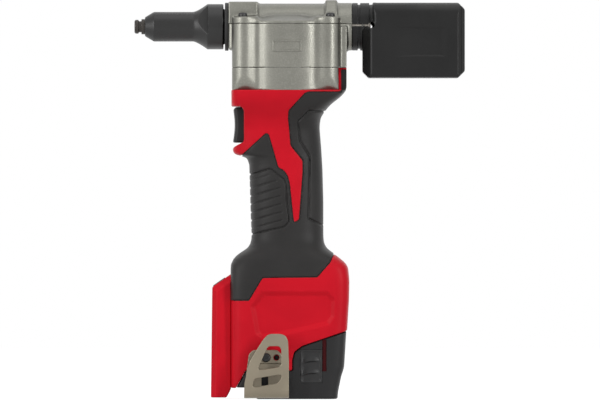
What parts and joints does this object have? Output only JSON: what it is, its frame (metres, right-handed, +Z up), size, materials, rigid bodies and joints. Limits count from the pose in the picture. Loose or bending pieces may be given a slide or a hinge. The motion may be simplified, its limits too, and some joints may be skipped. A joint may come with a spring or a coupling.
{
  "type": "battery rivet tool",
  "caption": "Pistol shaped battery rivet tool with a cast gear head, a pulling nose with jaws, a mandrel collector behind it, a belt hook and a slide-in battery.",
  "frame": {"origin": "on the standing plane under the drive axis, at the mid-plane", "axes": "+Z up along the drive axis of motor and gears, nose toward -X, belt hook on the -Y side"},
  "size_m": [0.2422, 0.0782, 0.292],
  "materials": {
    "nose_black": "black oxide steel",
    "seal_rubber": "matt",
    "cast_alloy": "cast and bead blasted",
    "screw_steel": "zinc plated",
    "spigot_alloy": "turned",
    "collector_black": "moulded",
    "ground_steel": "ground",
    "hard_steel": "hardened",
    "spring_steel": "drawn wire",
    "bearing_bronze": "turned",
    "gear_steel": "cut teeth",
    "wound_core": "laminations and windings",
    "motor_steel": "plated can",
    "ferrite": "sintered",
    "inner_black": "moulded",
    "red_plastic": "fine moulded texture",
    "grip_rubber": "overmoulded, matt",
    "dark_screw": "black",
    "trigger_black": "smooth moulded",
    "board_green": "lacquered",
    "hook_metal": "brushed, warm grey",
    "battery_black": "moulded",
    "cell_wrap": "shrink wrap over steel cans"
  },
  "bodies": {
    "tool_body": {"nosepiece": "nose_black", "nose_sleeve": "nose_black", "nose_collar": "seal_rubber", "head_casting": "cast_alloy", "middle_case": "cast_alloy", "lower_case": "cast_alloy", "case_screws": "screw_steel", "rear_spigot": "spigot_alloy", "spigot_seal": "seal_rubber", "crank_bearing": "bearing_bronze", "ring_gear_low": "gear_steel", "ring_gear_high": "gear_steel", "motor_can": "motor_steel", "motor_end_bell": "inner_black", "motor_magnets": "ferrite", "housing_left": "red_plastic", "housing_right": "red_plastic", "grip_left": "grip_rubber", "grip_right": "grip_rubber", "housing_screws": "dark_screw", "front_cover": "red_plastic", "trigger_spring": "spring_steel", "switch_body": "inner_black", "control_board": "board_green", "terminal_block": "inner_black", "belt_hook": "hook_metal", "hook_screw": "dark_screw"},
    "collector": {"collector_bottle": "collector_black", "collector_end_cap": "collector_black"},
    "rotor": {"rotor_shaft": "ground_steel", "rotor_core": "wound_core"},
    "fast_carrier": {"carrier_a": "gear_steel"},
    "mid_carrier": {"carrier_b": "gear_steel"},
    "crank_disc": {"crank": "hard_steel", "crank_roller": "ground_steel"},
    "pull_rod": {"pull_tube": "ground_steel", "yoke": "hard_steel", "jaw_case": "ground_steel", "pusher_spring": "spring_steel"},
    "pusher": {"jaw_pusher": "hard_steel"},
    "first_jaw": {"jaw_1": "hard_steel"},
    "second_jaw": {"jaw_2": "hard_steel"},
    "third_jaw": {"jaw_3": "hard_steel"},
    "trigger_lever": {"trigger": "trigger_black"},
    "battery": {"battery_case": "battery_black", "battery_stem": "battery_black", "battery_cells": "cell_wrap", "latch_springs": "spring_steel"},
    "left_latch": {"latch_left": "battery_black"},
    "right_latch": {"latch_right": "battery_black"},
    "planet_a1": {"planet_a_1": "gear_steel"},
    "planet_a2": {"planet_a_2": "gear_steel"},
    "planet_a3": {"planet_a_3": "gear_steel"},
    "planet_b1": {"planet_b_1": "gear_steel"},
    "planet_b2": {"planet_b_2": "gear_steel"},
    "planet_b3": {"planet_b_3": "gear_steel"},
    "planet_c1": {"planet_c_1": "gear_steel"},
    "planet_c2": {"planet_c_2": "gear_steel"},
    "planet_c3": {"planet_c_3": "gear_steel"}
  },
  "joints": [
    {"name": "motor_spin", "type": "hinge", "parent": "tool_body", "child": "rotor", "pos_m": [0, 0, 0.19], "axis": [0, 0, 1], "range_deg": [0, 11250]},
    {"name": "fast_carrier_spin", "type": "hinge", "parent": "tool_body", "child": "fast_carrier", "pos_m": [0, 0, 0.22], "axis": [0, 0, 1], "range_deg": [0, 2250]},
    {"name": "planet_a1_spin", "type": "hinge", "parent": "fast_carrier", "child": "planet_a1", "pos_m": [0.012, 0, 0.22], "axis": [0, 0, 1], "range_deg": [-6000, 0]},
    {"name": "planet_a2_spin", "type": "hinge", "parent": "fast_carrier", "child": "planet_a2", "pos_m": [-0.006, 0.01039, 0.22], "axis": [0, 0, 1], "range_deg": [-6000, 0]},
    {"name": "planet_a3_spin", "type": "hinge", "parent": "fast_carrier", "child": "planet_a3", "pos_m": [-0.006, -0.01039, 0.22], "axis": [0, 0, 1], "range_deg": [-6000, 0]},
    {"name": "mid_carrier_spin", "type": "hinge", "parent": "tool_body", "child": "mid_carrier", "pos_m": [0, 0, 0.229], "axis": [0, 0, 1], "range_deg": [0, 450]},
    {"name": "planet_b1_spin", "type": "hinge", "parent": "mid_carrier", "child": "planet_b1", "pos_m": [0.012, 0, 0.229], "axis": [0, 0, 1], "range_deg": [-1200, 0]},
    {"name": "planet_b2_spin", "type": "hinge", "parent": "mid_carrier", "child": "planet_b2", "pos_m": [-0.006, 0.01039, 0.229], "axis": [0, 0, 1], "range_deg": [-1200, 0]},
    {"name": "planet_b3_spin", "type": "hinge", "parent": "mid_carrier", "child": "planet_b3", "pos_m": [-0.006, -0.01039, 0.229], "axis": [0, 0, 1], "range_deg": [-1200, 0]},
    {"name": "crank_turn", "type": "hinge", "parent": "tool_body", "child": "crank_disc", "pos_m": [0, 0, 0.24], "axis": [0, 0, 1], "range_deg": [0, 100]},
    {"name": "planet_c1_spin", "type": "hinge", "parent": "crank_disc", "child": "planet_c1", "pos_m": [0.01688, 0, 0.24], "axis": [0, 0, 1], "range_deg": [-280, 0]},
    {"name": "planet_c2_spin", "type": "hinge", "parent": "crank_disc", "child": "planet_c2", "pos_m": [-0.00844, 0.01461, 0.24], "axis": [0, 0, 1], "range_deg": [-280, 0]},
    {"name": "planet_c3_spin", "type": "hinge", "parent": "crank_disc", "child": "planet_c3", "pos_m": [-0.00844, -0.01461, 0.24], "axis": [0, 0, 1], "range_deg": [-280, 0]},
    {"name": "pull_slide", "type": "slide", "parent": "tool_body", "child": "pull_rod", "axis": [1, 0, 0], "range_m": [0, 0.02]},
    {"name": "pusher_close", "type": "slide", "parent": "pull_rod", "child": "pusher", "axis": [-1, 0, 0], "range_m": [0, 0.002], "deforming": ["pusher_spring"]},
    {"name": "first_jaw_close", "type": "slide", "parent": "pull_rod", "child": "first_jaw", "axis": [-0.9718, -0.236, 0], "range_m": [0, 0.00206]},
    {"name": "second_jaw_close", "type": "slide", "parent": "pull_rod", "child": "second_jaw", "axis": [-0.9718, 0.118, -0.2044], "range_m": [0, 0.00206]},
    {"name": "third_jaw_close", "type": "slide", "parent": "pull_rod", "child": "third_jaw", "axis": [-0.9718, 0.118, 0.2044], "range_m": [0, 0.00206]},
    {"name": "trigger_pull", "type": "slide", "parent": "tool_body", "child": "trigger_lever", "axis": [1, 0, 0], "range_m": [0, 0.005], "stiffness_N_per_m": 1200, "springref_m": -0.002, "deforming": ["trigger_spring"]},
    {"name": "battery_slide", "type": "slide", "parent": "tool_body", "child": "battery", "axis": [0, 0, -1], "range_m": [0, 0.085]},
    {"name": "left_latch_press", "type": "slide", "parent": "battery", "child": "left_latch", "axis": [0, 1, 0], "range_m": [0, 0.0025], "stiffness_N_per_m": 2000, "springref_m": -0.0008, "deforming": ["latch_springs"]},
    {"name": "right_latch_press", "type": "slide", "parent": "battery", "child": "right_latch", "axis": [0, -1, 0], "range_m": [0, 0.0025], "stiffness_N_per_m": 2000, "springref_m": -0.0008, "deforming": ["latch_springs"]},
    {"name": "collector_slide", "type": "slide", "parent": "tool_body", "child": "collector", "axis": [1, 0, 0], "range_m": [0, 0.045]}
  ],
  "couplings": [
    {"joint": "fast_carrier_spin", "follows": "pull_slide", "rad_per_m": 1963.5},
    {"joint": "planet_a1_spin", "follows": "pull_slide", "rad_per_m": -5236},
    {"joint": "planet_a2_spin", "follows": "pull_slide", "rad_per_m": -5236},
    {"joint": "planet_a3_spin", "follows": "pull_slide", "rad_per_m": -5236},
    {"joint": "mid_carrier_spin", "follows": "pull_slide", "rad_per_m": 392.7},
    {"joint": "planet_b1_spin", "follows": "pull_slide", "rad_per_m": -1047.2},
    {"joint": "planet_b2_spin", "follows": "pull_slide", "rad_per_m": -1047.2},
    {"joint": "planet_b3_spin", "follows": "pull_slide", "rad_per_m": -1047.2},
    {"joint": "crank_turn", "follows": "pull_slide", "rad_per_m": 87.266},
    {"joint": "planet_c1_spin", "follows": "pull_slide", "rad_per_m": -244.35},
    {"joint": "planet_c2_spin", "follows": "pull_slide", "rad_per_m": -244.35},
    {"joint": "planet_c3_spin", "follows": "pull_slide", "rad_per_m": -244.35},
    {"joint": "motor_spin", "follows": "pull_slide", "rad_per_m": 9817.5},
    {"joint": "pusher_close", "follows": "pull_slide", "ratio": 0.1},
    {"joint": "first_jaw_close", "follows": "pull_slide", "ratio": 0.10291},
    {"joint": "second_jaw_close", "follows": "pull_slide", "ratio": 0.10291},
    {"joint": "third_jaw_close", "follows": "pull_slide", "ratio": 0.10291}
  ]
}
